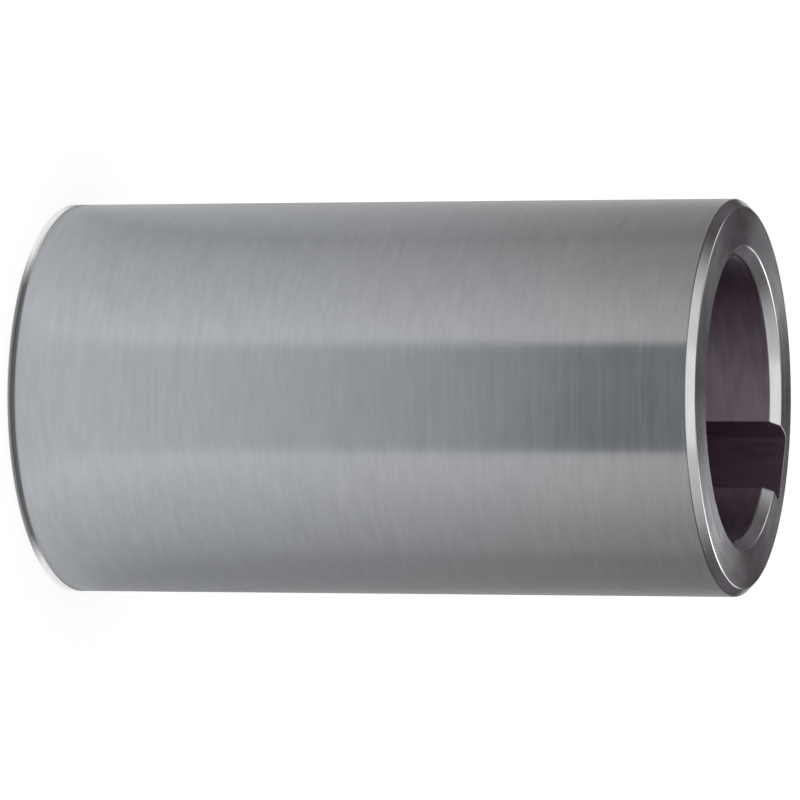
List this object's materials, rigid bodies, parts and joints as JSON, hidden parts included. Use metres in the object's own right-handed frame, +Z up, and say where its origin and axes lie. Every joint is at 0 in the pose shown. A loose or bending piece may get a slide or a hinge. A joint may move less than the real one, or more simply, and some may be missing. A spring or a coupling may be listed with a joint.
{
  "type": "arbor bushing",
  "caption": "Ground steel sleeve with a plain outside, a keyed bore and chamfered ends, that slides on a cutter arbor and runs in the arbor bearing.",
  "frame": {"origin": "centre of the bore at the lower end face, which the bushing stands on", "axes": "+Z up along the bore's axis; +X through the middle of the keyway; +Y completes the right-handed frame"},
  "size_m": [0.0444, 0.0444, 0.0794],
  "materials": {
    "ground_steel": "hardened steel, cylindrically ground outside and faced on the ends"
  },
  "bodies": {
    "root": {"bushing": "ground_steel"}
  },
  "joints": []
}
